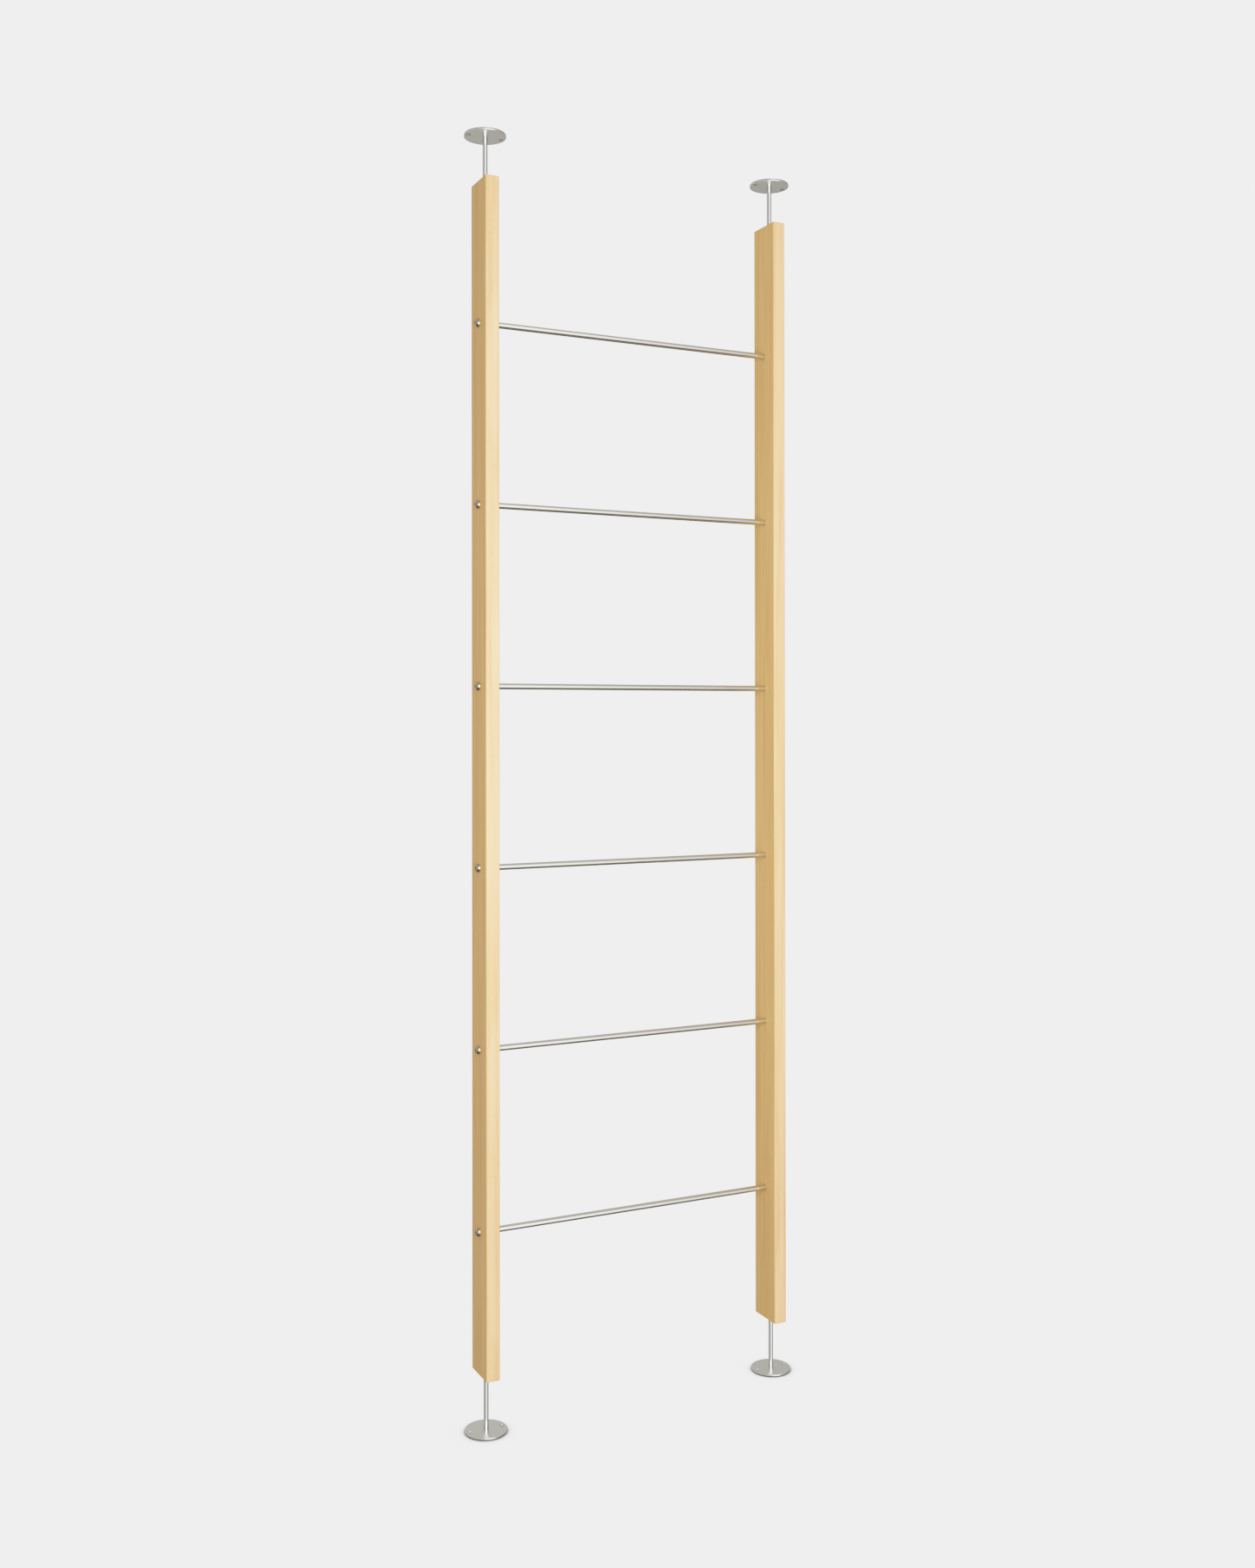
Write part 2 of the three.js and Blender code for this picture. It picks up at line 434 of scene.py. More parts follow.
@dataclass(frozen=True)
class Moulding:
    """A moulded or sheet plastic or rubber, with a fine pebbled skin."""

    name: str
    base: Colour
    roughness: float
    pebble: float = 1500.0

    def material(self) -> bpy.types.Material:
        """Makes the plastic or rubber.

        Returns:
            Its material.
        """
        graph = ShaderGraph(self.name)
        pebble = graph.noise((self.pebble,) * 3, 2.0)
        cloud = graph.noise((60.0, 60.0, 60.0), 3.0)
        dust = graph.noise((700.0, 700.0, 700.0), 3.0).step(0.6, 0.78)
        worn = graph.edges(0.4 * MM)
        pale = tuple(c + (1.0 - c) * 0.10 for c in self.base)
        deep = tuple(c * 0.82 for c in self.base)
        colour = graph.mix(cloud, deep, pale)
        colour = graph.mix((dust * 0.3 + worn * 0.4).clamped(), colour, pale)
        roughness = self.roughness + (pebble - 0.5) * 0.1 + (cloud - 0.5) * 0.08 - worn * 0.06
        return graph.finish({"IOR": 1.5}, colour, roughness, pebble, 0.03 * MM)


# ---- Solids ----


def eased(corners: Iterable[tuple[float, float, float]], steps: int = 3) -> Outline:
    """An outline with its corners eased.

    Args:
        corners: Each corner's radius, height, and how far along its two sides the easing reaches.
        steps: How many pieces each easing is made of.

    Returns:
        The outline as pairs of radius and height.
    """
    points = [(Vector((r, z)), ease) for r, z, ease in corners]
    outline: list[Vector] = []
    for i, (corner, ease) in enumerate(points):
        if ease <= 0.0:
            outline.append(corner)
            continue
        start = corner + (points[i - 1][0] - corner).normalized() * ease
        end = corner + (points[(i + 1) % len(points)][0] - corner).normalized() * ease
        for k in range(steps + 1):
            t = k / steps
            outline.append(start * (1 - t) ** 2 + corner * 2 * t * (1 - t) + end * t**2)
    return [(point.x, point.y) for point in outline]


def evaluated_mesh(made: bpy.types.Object) -> bpy.types.Mesh:
    """An object's mesh with its modifiers applied.

    Args:
        made: The object, which is linked to the scene and is deleted here.

    Returns:
        The plain mesh.
    """
    graph = bpy.context.evaluated_depsgraph_get()
    mesh = bpy.data.meshes.new_from_object(made.evaluated_get(graph), depsgraph=graph)
    bpy.data.objects.remove(made)
    return mesh


def linked_object(name: str, mesh: bpy.types.Mesh) -> bpy.types.Object:
    """Puts a mesh in the scene, at the origin.

    Args:
        name: The object's name.
        mesh: The mesh.

    Returns:
        The object.
    """
    made = bpy.data.objects.new(name, mesh)
    bpy.context.scene.collection.objects.link(made)
    return made


class Solid:
    """A mesh in the making, with its place in its vertices."""

    MERGE = 0.002 * MM

    def __init__(self, mesh: bpy.types.Mesh) -> None:
        """Starts on a mesh."""
        self.mesh = mesh

    @classmethod
    def loft(
        cls, rings: Sequence[Sequence[Vector]], looped: bool = False, capped: bool = False
    ) -> "Solid":
        """A skin over rings of points, which follow each other up the outside.

        Args:
            rings: The rings. All have the same count of points, or one point for a pole.
            looped: Whether the last ring joins the first, as on a tube's wall.
            capped: Whether a flat face closes each end.

        Returns:
            The skin.
        """
        made = bmesh.new()
        rows = [[made.verts.new(point) for point in ring] for ring in rings]
        pairs = list(zip(rows, rows[1:])) + ([(rows[-1], rows[0])] if looped else [])
        for low, high in pairs:
            count = max(len(low), len(high))
            for i in range(count):
                j = (i + 1) % count
                corners = [
                    low[i % len(low)],
                    low[j % len(low)],
                    high[j % len(high)],
                    high[i % len(high)],
                ]
                made.faces.new(tuple(dict.fromkeys(corners)))
        if capped:
            made.faces.new(rows[0][::-1])
            made.faces.new(rows[-1])
        return cls.from_bmesh(made)

    @classmethod
    def lathe(cls, outline: Outline, segments: int, looped: bool = False) -> "Solid":
        """A body of revolution about +Z.

        Args:
            outline: Pairs of radius and height that run up its outside.
            segments: The flats round it.
            looped: Whether the outline closes on itself, as for a sleeve.

        Returns:
            The body.
        """
        turns = [2 * math.pi * i / segments for i in range(segments)]
        rings = [
            [Vector((r * math.cos(t), r * math.sin(t), z)) for t in (turns if r > 0 else [0.0])]
            for r, z in outline
        ]
        return cls.loft(rings, looped)

    @classmethod
    def from_bmesh(cls, made: bmesh.types.BMesh) -> "Solid":
        """Turns a finished bmesh into a solid.

        Args:
            made: The bmesh, which is freed.

        Returns:
            The solid.
        """
        mesh = bpy.data.meshes.new("solid")
        made.to_mesh(mesh)
        made.free()
        return cls(mesh)

    def joined(self, *others: "Solid") -> "Solid":
        """Puts this solid and others together.

        Args:
            others: The other solids.

        Returns:
            All of them as one.
        """
        made = bmesh.new()
        for solid in (self, *others):
            made.from_mesh(solid.mesh)
        return Solid.from_bmesh(made)

    def placed(self, matrix: Matrix) -> "Solid":
        """Copies this solid to somewhere else.

        Args:
            matrix: Where it goes.

        Returns:
            The copy.
        """
        mesh = self.mesh.copy()
        mesh.transform(matrix)
        return Solid(mesh)

    def cut(self, *tools: "Solid") -> "Solid":
        """This solid with others taken out of it.

        Args:
            tools: The closed solids to take away, which don't overlap each other.

        Returns:
            What is left.
        """
        body = linked_object("body", self.mesh)
        tool = linked_object("tool", tools[0].joined(*tools[1:]).mesh)
        modifier = body.modifiers.new("cut", "BOOLEAN")
        modifier.operation, modifier.solver, modifier.object = "DIFFERENCE", "EXACT", tool
        left = Solid(evaluated_mesh(body))
        bpy.data.objects.remove(tool)
        return left

    def piece(
        self, name: str, material: bpy.types.Material, sharp: float = 32.0
    ) -> bpy.types.Object:
        """The finished object.

        Args:
            name: The piece's name.
            material: Its finish.
            sharp: The angle in degrees past which an edge stays crisp.

        Returns:
            An object at the origin with one material and flat faces that shade flat.
        """
        made = bmesh.new()
        made.from_mesh(self.mesh)
        bmesh.ops.remove_doubles(made, verts=made.verts, dist=self.MERGE)
        bmesh.ops.recalc_face_normals(made, faces=made.faces)
        if made.calc_volume(signed=True) < 0.0:
            bmesh.ops.reverse_faces(made, faces=made.faces)
        made.to_mesh(self.mesh)
        made.free()
        self.mesh.shade_smooth()
        self.mesh.set_sharp_from_angle(angle=math.radians(sharp))
        rough = linked_object("rough", self.mesh)
        modifier = rough.modifiers.new("flats", "WEIGHTED_NORMAL")
        modifier.keep_sharp = True
        mesh = evaluated_mesh(rough)
        mesh.name = name
        mesh.materials.clear()
        mesh.materials.append(material)
        return linked_object(name, mesh)


# ---- Geometry Nodes ----


class ShapeGraph(NodeGraph):
    """A Geometry Nodes tree with named inputs."""

    def __init__(self, name: str, inputs: dict[str, str]) -> None:
        """Makes a tree with its inputs and its one geometry output.

        Args:
            name: The tree's name.
            inputs: Each input's name and socket type, after the geometry.
        """
        super().__init__(bpy.data.node_groups.new(name, "GeometryNodeTree"))
        face = self.tree.interface
        face.new_socket("Geometry", in_out="OUTPUT", socket_type="NodeSocketGeometry")
        face.new_socket("Geometry", in_out="INPUT", socket_type="NodeSocketGeometry")
        for title, kind in inputs.items():
            face.new_socket(title, in_out="INPUT", socket_type=kind)
        self.source = self.tree.nodes.new("NodeGroupInput")

    def given(self, name: str) -> Wire:
        """One of the tree's inputs."""
        return Wire(self, self.source.outputs[name])

    def end(self, shape: Wire) -> None:
        """Makes the shape real, gives it the Material input, and ends the tree.

        Args:
            shape: The geometry.
        """
        real = self.node("GeometryNodeRealizeInstances", None, {0: shape})
        dressed = {"Geometry": real, "Material": self.given("Material")}
        shape = self.node("GeometryNodeSetMaterial", None, dressed)
        output = self.tree.nodes.new("NodeGroupOutput")
        self.tree.links.new(shape.socket, output.inputs[0])

    def run(self, host: Solid, values: dict[str, Any]) -> Solid:
        """Runs the tree on a solid.

        Args:
            host: The solid that the tree starts from.
            values: The tree's inputs by name.

        Returns:
            The plain result.
        """
        made = linked_object("host", host.mesh)
        modifier = made.modifiers.new("shape", "NODES")
        modifier.node_group = self.tree
        for item in self.tree.interface.items_tree:
            if item.in_out == "INPUT" and item.name in values:
                modifier[item.identifier] = values[item.name]
        return Solid(evaluated_mesh(made))


class ThreadGraph(ShapeGraph):
    """Winds a right-hand screw thread about +Z and welds it to the open ends of its host."""

    def __init__(self) -> None:
        """Builds the tree: a sheared grid is rolled up, so that every crest follows the helix."""
        sizes = dict.fromkeys(("Crest", "Root", "Pitch", "Start", "End"), "NodeSocketFloat")
        counts = dict.fromkeys(("Segments", "Rows"), "NodeSocketInt")
        rest = {"Inside": "NodeSocketBool", "Material": "NodeSocketMaterial"}
        super().__init__("screw_thread", {**sizes, **counts, **rest})
        pitch, start, end = self.given("Pitch"), self.given("Start"), self.given("End")
        first = (start / pitch).math("FLOOR", start / pitch) - 1.0
        turns = (end / pitch).math("CEIL", end / pitch) - first
        size = {
            "Size X": 1.0,
            "Size Y": 1.0,
            "Vertices X": self.given("Segments") + 1.0,
            "Vertices Y": turns * self.given("Rows") + 1.0,
        }
        grid = self.node("GeometryNodeMeshGrid", None, size)
        x, y, _ = self.parts(self.node("GeometryNodeInputPosition"))
        turn, wound = x + 0.5, (y + 0.5) * turns + first
        height = ((wound + turn) * pitch).larger(start).smaller(end)
        wave = abs(wound.math("FRACT", wound) - 0.5) * 2.0
        ridge = ((wave - 0.25) / 0.625).clamped()
        runout = (1.0 - (end - height) / pitch).clamped()
        taper = ((height - start) / pitch).clamped()
        depth = self.given("Crest") - self.given("Root")
        radius = self.given("Root") + depth * ridge.larger(runout) * taper
        angle = turn * (2 * math.pi)
        place = self.vector(
            radius * angle.math("COSINE", angle), radius * angle.math("SINE", angle), height
        )
        rolled = self.node("GeometryNodeSetPosition", None, {"Geometry": grid, "Position": place})
        turned_in = {"Mesh": rolled, "Selection": self.given("Inside")}
        wall = self.node("GeometryNodeFlipFaces", None, turned_in)
        both = self.tree.nodes.new("GeometryNodeJoinGeometry")
        self.tree.links.new(wall.socket, both.inputs[0])
        self.tree.links.new(self.given("Geometry").socket, both.inputs[0])
        joined = {"Geometry": Wire(self, both.outputs[0]), "Distance": 5e-6}
        self.end(self.node("GeometryNodeMergeByDistance", None, joined))


class LadderGraph(ShapeGraph):
    """Repeats one piece up the ladder at even steps, on one side or on both."""

    def __init__(self) -> None:
        """Builds the tree: a line of points, the piece on each, and the same turned half round."""
        sockets = {
            "Piece": "NodeSocketObject",
            "Count": "NodeSocketInt",
            "Spacing": "NodeSocketFloat",
            "First": "NodeSocketVector",
            "Turn": "NodeSocketVector",
            "Both Sides": "NodeSocketBool",
            "Material": "NodeSocketMaterial",
        }
        super().__init__("up_the_ladder", sockets)
        step = self.vector(0.0, 0.0, self.given("Spacing"))
        line = {"Count": self.given("Count"), "Start Location": self.given("First"), "Offset": step}
        points = self.node("GeometryNodeMeshLine", {"mode": "OFFSET"}, line)
        unit = self.node("GeometryNodeObjectInfo", None, {0: self.given("Piece")}, "Geometry")
        row = {"Points": points, "Instance": unit, "Rotation": self.given("Turn")}
        near = self.node("GeometryNodeInstanceOnPoints", None, row)
        half_turn = {"Geometry": near, "Rotation": (0.0, 0.0, math.pi)}
        far = self.node("GeometryNodeTransform", None, half_turn)
        choice = {"Switch": self.given("Both Sides"), "True": far}
        other = self.node("GeometryNodeSwitch", {"input_type": "GEOMETRY"}, choice)
        both = self.tree.nodes.new("GeometryNodeJoinGeometry")
        for wire in (near, other):
            self.tree.links.new(wire.socket, both.inputs[0])
        self.end(Wire(self, both.outputs[0]))

    def repeat(
        self, unit: Solid, rungs: "Rungs", start: float, both: bool, material: bpy.types.Material
    ) -> Solid:
        """Repeats a solid, laid along X, at each rung.

        Args:
            unit: The solid, about +Z at its own origin.
            rungs: The rungs.
            start: How far along X the solid's origin goes.
            both: Whether it is repeated on the other side too.
            material: Its finish.

        Returns:
            All the copies as one.
        """
        piece = linked_object("unit", unit.mesh)
        empty = Solid(bpy.data.meshes.new("empty"))
        values = {
            "Piece": piece,
            "Count": rungs.count,
            "Spacing": rungs.spacing,
            "First": (start, 0.0, rungs.heights[0]),
            "Turn": (0.0, math.pi / 2, 0.0),
            "Both Sides": both,
            "Material": material,
        }
        made = self.run(empty, values)
        bpy.data.objects.remove(piece)
        return made


@dataclass(frozen=True)
class Thread:
    """A thread's sizes."""

    crest: float
    root: float
    pitch: float
    start: float
    end: float
    segments: int = 24
    rows: int = 6
    inside: bool = False

    def on(self, graph: ThreadGraph, host: Solid, material: bpy.types.Material) -> Solid:
        """Winds this thread between a host's open rings.

        Args:
            graph: The tree that winds threads.
            host: The rest of the piece, open where the thread goes.
            material: The piece's finish.

        Returns:
            The threaded piece.
        """
        values = {field.name.title(): getattr(self, field.name) for field in fields(self)}
        return graph.run(host, {**values, "Material": material})


# ---- Dressing ----


def dressed(piece: bpy.types.Object, body: str, slot: str, nodes: Iterable[str]) -> None:
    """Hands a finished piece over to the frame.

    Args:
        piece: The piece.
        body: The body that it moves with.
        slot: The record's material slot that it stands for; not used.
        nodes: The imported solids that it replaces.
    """
    names = list(nodes)
    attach(piece, body)
    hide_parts(*names)
    LOG.info("%s rides on %s for %s", piece.name, body, ", ".join(names))


def hexagon(radius: float, depth: float, face: float) -> Solid:
    """A hexagon socket's tool, sunk from a face, with a drill point below.

    Args:
        radius: From its middle to a corner.
        depth: How deep its flats go.
        face: The height of the face.

    Returns:
        The tool.
    """
    floor = face - depth
    outline = [(0.0, floor - radius * 0.35), (radius, floor), (radius, face + 1 * MM)]
    return Solid.lathe([*outline, (0.0, face + 1 * MM)], 6)


@dataclass
class Posts:
    """The two flat oak posts, with rung sockets in their inner faces and a bore in each end."""

    corner: float = 3 * MM
    end_ease: float = 0.9 * MM
    corner_steps: int = 8
    segments: int = 48
    seat_depth: float = 10 * MM
    screw_hole: float = 3.3 * MM
    bore: float = 8.3 * MM
    narrow_bore: float = 5.6 * MM
    wide_depth: float = 110.3 * MM
    bore_depth: float = 200 * MM
    socket_gap: float = 0.3 * MM
    piths: tuple[tuple[float, float], ...] = ((7 * MM, -155 * MM), (3 * MM, -120 * MM))

    def section(self, half: Vector, height: float, inset: float) -> list[Vector]:
        """A post's outline at one height.

        Args:
            half: Half the post's width and depth.
            height: The height.
            inset: How far the outline lies inside the full one.

        Returns:
            Points round it, anticlockwise from above.
        """
        radius = self.corner - inset
        points = []
        for quarter, (sx, sy) in enumerate(((1, 1), (-1, 1), (-1, -1), (1, -1))):
            centre = Vector((sx * (half.x - self.corner), sy * (half.y - self.corner), height))
            for k in range(self.corner_steps + 1):
                angle = (quarter + k / self.corner_steps) * math.pi / 2
                points.append(centre + radius * Vector((math.cos(angle), math.sin(angle), 0.0)))
        return points

    def blank(self, low: Vector, high: Vector) -> Solid:
        """A post before it is bored.

        Args:
            low: Its lowest corner.
            high: Its highest corner.

        Returns:
            The blank, with eased ends.
        """
        half, middle = (high - low) / 2, (high + low) / 2
        turns = [math.pi / 2 * k / 4 for k in range(5)]
        ease = self.end_ease
        inset = [(ease * (1 - math.sin(a)), ease * (1 - math.cos(a))) for a in turns]
        ends = [(low.z + rise, e) for e, rise in inset]
        ends += [(high.z - rise, e) for e, rise in reversed(inset)]
        rings = [self.section(half, height, e) for height, e in ends]
        place = Matrix.Translation((middle.x, middle.y, 0.0))
        return Solid.loft(rings, capped=True).placed(place)

    def end_tool(self) -> Solid:
        """Draws the tool for a bore.

        Returns:
            The tool, which runs down from a post's end at height 0.
        """
        ease = 0.5 * MM
        outline = [
            (0.0, -self.bore_depth - self.narrow_bore * 0.5),
            (self.narrow_bore, -self.bore_depth),
            (self.narrow_bore, -self.wide_depth),
            (self.bore, -self.wide_depth),
            (self.bore, -ease),
            (self.bore + ease * 2, ease),
            (0.0, ease),
        ]
        return Solid.lathe(outline, self.segments)

    def socket_tool(self, seat: float, thickness: float) -> Solid:
        """The tool for a rung's socket and its screw's hole, along +X into an inner face at 0.

        Args:
            seat: The socket's radius.
            thickness: The post's, across which the screw's hole goes.

        Returns:
            The tool.
        """
        ease = 0.3 * MM
        outline = [
            (0.0, -ease),
            (seat + 2 * ease, -ease),
            (seat, ease),
            (seat, self.seat_depth),
            (self.screw_hole, self.seat_depth),
            (self.screw_hole, thickness - ease),
            (self.screw_hole + 2 * ease, thickness + ease),
            (0.0, thickness + ease),
        ]
        return Solid.lathe(outline, self.segments).placed(Matrix.Rotation(math.pi / 2, 4, "Y"))

    def build(self, rungs: "Rungs") -> None:
        """Makes both posts and hands them over.

        Args:
            rungs: The rungs that the sockets are for.
        """
        turned_over = Matrix.Rotation(math.pi, 4, "X")
        for number, name in enumerate(("left", "right")):
            low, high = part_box(f"{name}_post")
            axis = (low.x + high.x) / 2
            inner, turn = (high.x, math.pi) if name == "left" else (low.x, 0.0)
            facing = Matrix.Rotation(turn, 4, "Z")
            socket = self.socket_tool(rungs.radius + self.socket_gap, high.x - low.x)
            tools = [
                socket.placed(Matrix.Translation((inner, 0.0, z)) @ facing) for z in rungs.heights
            ]
            bore = self.end_tool()
            tools.append(bore.placed(Matrix.Translation((axis, 0.0, high.z))))
            tools.append(bore.placed(Matrix.Translation((axis, 0.0, low.z)) @ turned_over))
            across, away = self.piths[number]
            oak = Oak(f"oak_{name}", (axis + across, away), number + 1.0).material()
            post = self.blank(low, high).cut(*tools).piece(f"oak_post_{name}", oak)
            dressed(post, LADDER, "oak", [f"{name}_post"])


@dataclass
class Rungs:
    """The six round rungs, let into the posts and tapped at each end for a screw."""

    ease: float = 0.5 * MM
    tap: float = 3.3 * MM
    tap_depth: float = 22 * MM
    segments: int = 64
    count: int = 6

    def __post_init__(self) -> None:
        """Reads the rungs' sizes and heights from the frame."""
        boxes = [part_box(f"rung_{i + 1}") for i in range(self.count)]
        low, high = boxes[0]
        self.radius = (high.y - low.y) / 2
        self.half_length = (high.x - low.x) / 2
        self.heights = [(a.z + b.z) / 2 for a, b in boxes]
        self.spacing = (self.heights[-1] - self.heights[0]) / (self.count - 1)

    def unit(self) -> Solid:
        """Draws one rung.

        Returns:
            The rung about +Z, with chamfered ends and tapping holes.
        """
        end, r = self.half_length, self.radius
        outline = [
            (0.0, -end + self.tap_depth + self.tap * 0.6, 0.0),
            (self.tap, -end + self.tap_depth, 0.0),
            (self.tap, -end, self.ease * 0.6),
            (r, -end, self.ease),
            (r, end, self.ease),
            (self.tap, end, self.ease * 0.6),
            (self.tap, end - self.tap_depth, 0.0),
            (0.0, end - self.tap_depth - self.tap * 0.6, 0.0),
        ]
        return Solid.lathe(eased(outline), self.segments)

    def build(self, ladder: LadderGraph) -> None:
        """Makes the rungs and hands them over.

        Args:
            ladder: The tree that repeats a piece up the ladder.
        """
        finish = Metal("ground_rung", (0.75, 0.73, 0.67), 0.18, Marks.ROUND_X).material()
        rungs = ladder.repeat(self.unit(), self, 0.0, False, finish).piece("rungs", finish)
        nodes = [f"rung_{i + 1}" for i in range(self.count)]
        dressed(rungs, LADDER, "polished_rung", nodes)


@dataclass
class RungScrews:
    """The domed screws that hold the rungs, with their heads on the posts' outer faces."""

    head: float = 8.5 * MM
    height: float = 8 * MM
    land: float = 0.8 * MM
    thread_radius: float = 3 * MM
    root: float = 2.39 * MM
    pitch: float = 1 * MM
    length: float = 36 * MM
    plain: float = 6 * MM
    socket: float = 2.31 * MM
    socket_depth: float = 3.5 * MM
    segments: int = 48

    def head_outline(self) -> Outline:
        """Draws the head's outline.

        Returns:
            The outline, up from the head's seat to the middle of its dome.
        """
        rise = self.height - self.land
        sphere = (self.head**2 + rise**2) / (2 * rise)
        centre = self.height - sphere
        start = math.asin((self.land - centre) / sphere)
        steps = 14
        dome = [(self.thread_radius, 0.0), (self.head - 0.3 * MM, 0.0), (self.head, 0.3 * MM)]
        for k in range(steps + 1):
            angle = start + (math.pi / 2 - start) * k / steps
            radius = sphere * math.cos(angle) if k < steps else 0.0
            dome.append((radius, centre + sphere * math.sin(angle)))
        return dome

    def unit(self, threads: ThreadGraph, finish: bpy.types.Material) -> Solid:
        """One screw about +Z, with its head above height 0.

        Args:
            threads: The tree that winds threads.
            finish: The screw's material.

        Returns:
            The screw.
        """
        tip_chamfer = 0.6 * MM
        start, end = -self.length + tip_chamfer, -self.plain
        tip = [(0.0, -self.length), (self.root - 0.4 * MM, -self.length), (self.root, start)]
        top = [(self.thread_radius, end), *self.head_outline()]
        host = Solid.lathe(tip, self.segments).joined(Solid.lathe(top, self.segments))
        thread = Thread(self.thread_radius, self.root, self.pitch, start, end, self.segments, 5)
        screw = thread.on(threads, host, finish)
        mouth = 0.35 * MM
        rim = Solid.lathe(
            [
                (0.0, self.height - 2 * mouth - self.socket),
                (self.socket + 2 * mouth, self.height + mouth),
                (0.0, self.height + mouth),
            ],
            self.segments,
        )
        return screw.cut(rim).cut(hexagon(self.socket, self.socket_depth, self.height))

    def build(self, rungs: Rungs, threads: ThreadGraph, ladder: LadderGraph) -> None:
        """Makes the twelve screws and hands them over.

        Args:
            rungs: The rungs that they hold.
            threads: The tree that winds threads.
            ladder: The tree that repeats a piece up the ladder.
        """
        # painted reflection: the warm, dark brown tint stands in for the oak that the polished
        # domes reflect
        finish = Metal("bright_screw", (0.47, 0.39, 0.28), 0.25, Marks.ROUND_X).material()
        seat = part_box("rung_screw_right_1")[1].x - self.height
        row = ladder.repeat(self.unit(threads, finish), rungs, seat, True, finish)
        screws = row.piece("rung_screws", finish)
        sides = [(side, i + 1) for side in ("left", "right") for i in range(rungs.count)]
        nodes = [f"rung_screw_{side}_{number}" for side, number in sides]
        dressed(screws, LADDER, "polished_screw", nodes)


class Place(Enum):
    """Where a jack foot is."""

    UPPER_LEFT = "upper_left"
    UPPER_RIGHT = "upper_right"
    LOWER_LEFT = "lower_left"
    LOWER_RIGHT = "lower_right"

    @property
    def lower(self) -> bool:
        """Whether the foot stands on the floor."""
        return self in (Place.LOWER_LEFT, Place.LOWER_RIGHT)

    @property
    def post(self) -> str:
        """The post that the foot is in."""
        return "left_post" if self in (Place.UPPER_LEFT, Place.LOWER_LEFT) else "right_post"

    def end(self, node: str, outer: bool = True) -> Vector:
        """The middle of a solid's outer or inner end, seen from the foot's post.

        Args:
            node: The solid.
            outer: Whether the end is the one further from the post's middle.

        Returns:
            The point.
        """
        low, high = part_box(node)
        height = high.z if outer != self.lower else low.z
        return Vector(((low.x + high.x) / 2, (low.y + high.y) / 2, height))


